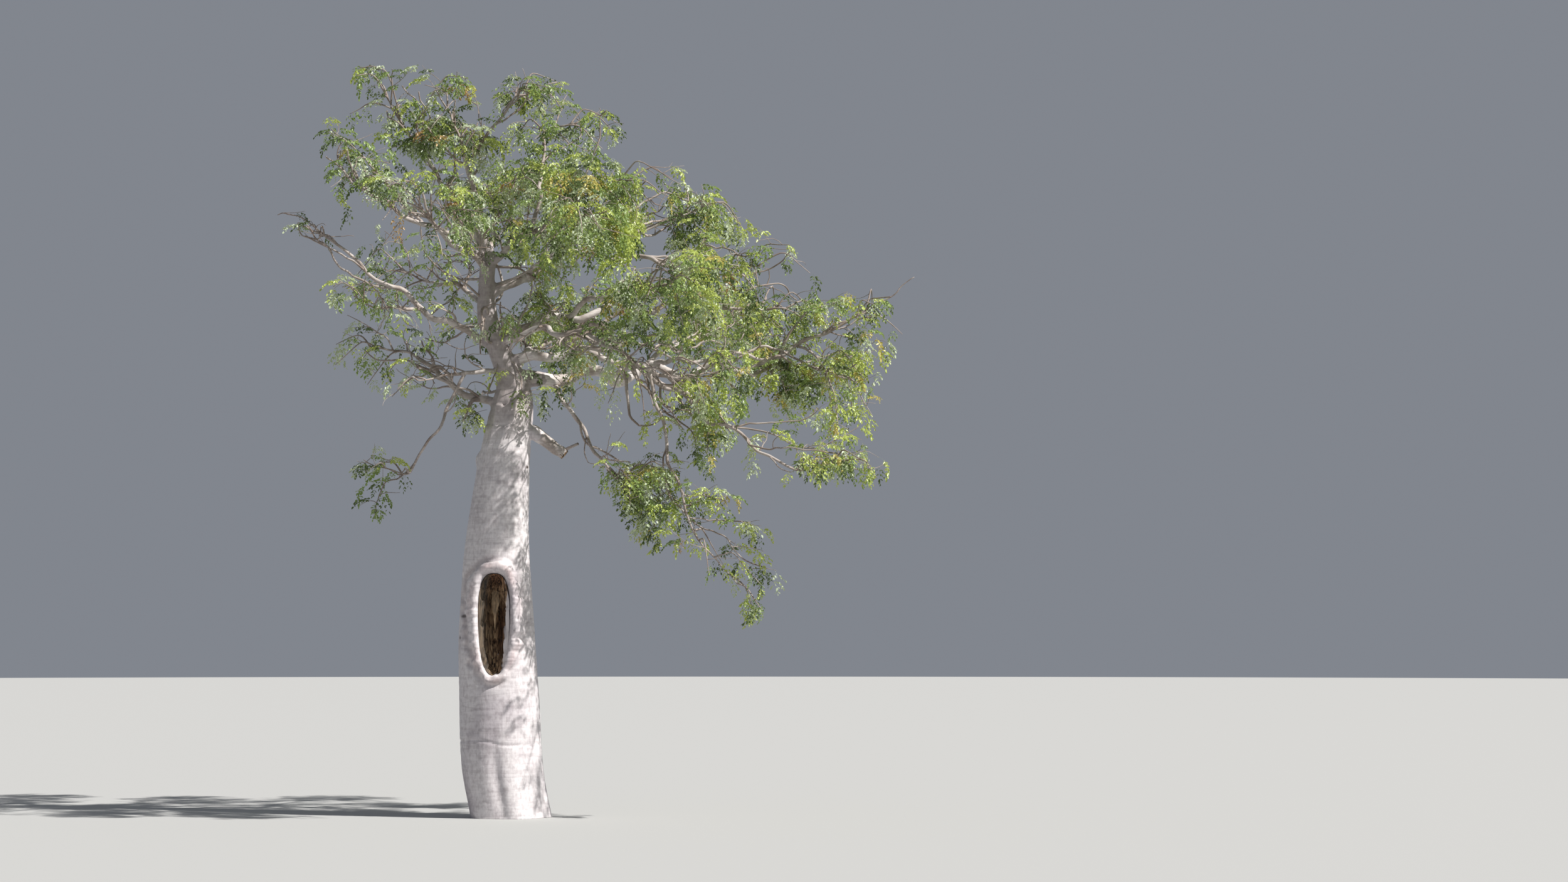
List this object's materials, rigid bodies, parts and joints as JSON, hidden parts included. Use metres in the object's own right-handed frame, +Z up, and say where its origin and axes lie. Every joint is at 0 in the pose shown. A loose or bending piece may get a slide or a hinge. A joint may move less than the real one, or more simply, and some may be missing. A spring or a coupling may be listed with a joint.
{
  "type": "moringa tree",
  "caption": "Bottle-trunked moringa tree with a healed hollow in its smooth pale trunk, crooked grey boughs and an open, one-sided crown of fine hanging leaves.",
  "frame": {"origin": "middle of the flat cut through the foot of the trunk, at ground level", "axes": "+Z up, +X towards the side that the crown leans and reaches furthest to, -Y towards the side that the hollow in the trunk faces"},
  "size_m": [5.1129, 3.8801, 5.995],
  "materials": {
    "bark": "smooth, pale silvery grey bark with fine level wrinkles, greyer and pinker on the thin limbs",
    "foliage": "matt light green to yellow green small leaves",
    "rotten_wood": "dry, fibrous brown wood"
  },
  "bodies": {
    "root": {"trunk": "bark", "bough_high_left": "bark", "bough_top_left": "bark", "bough_crest": "bark", "bough_crest_right": "bark", "bough_high_right": "bark", "bough_high_centre": "bark", "bough_high_back": "bark", "bough_high_front": "bark", "bough_right_high": "bark", "bough_front_centre": "bark", "bough_right_shoulder": "bark", "bough_left_back": "bark", "bough_right_arch": "bark", "bough_front_right": "bark", "bough_left_long": "bark", "bough_left_lower": "bark", "bough_left_inner": "bark", "bough_left_low": "bark", "bough_left_hanging": "bark", "bough_right_mid": "bark", "bough_right_low": "bark", "bough_right_tip": "bark", "bough_front_low": "bark", "bough_right_bottom": "bark", "bough_hanging_low": "bark", "bough_hanging_centre": "bark", "bough_back_low": "bark", "bough_back_right": "bark", "stub_right": "bark", "foliage_high_left": "foliage", "foliage_top_left": "foliage", "foliage_crest": "foliage", "foliage_crest_right": "foliage", "foliage_high_right": "foliage", "foliage_high_centre": "foliage", "foliage_high_back": "foliage", "foliage_high_front": "foliage", "foliage_right_high": "foliage", "foliage_front_centre": "foliage", "foliage_right_shoulder": "foliage", "foliage_left_back": "foliage", "foliage_right_arch": "foliage", "foliage_front_right": "foliage", "foliage_left_long": "foliage", "foliage_left_lower": "foliage", "foliage_left_inner": "foliage", "foliage_left_low": "foliage", "foliage_left_hanging": "foliage", "foliage_right_mid": "foliage", "foliage_right_low": "foliage", "foliage_right_tip": "foliage", "foliage_front_low": "foliage", "foliage_right_bottom": "foliage", "foliage_hanging_low": "foliage", "foliage_hanging_centre": "foliage", "foliage_back_low": "foliage", "foliage_back_right": "foliage"}
  },
  "joints": []
}
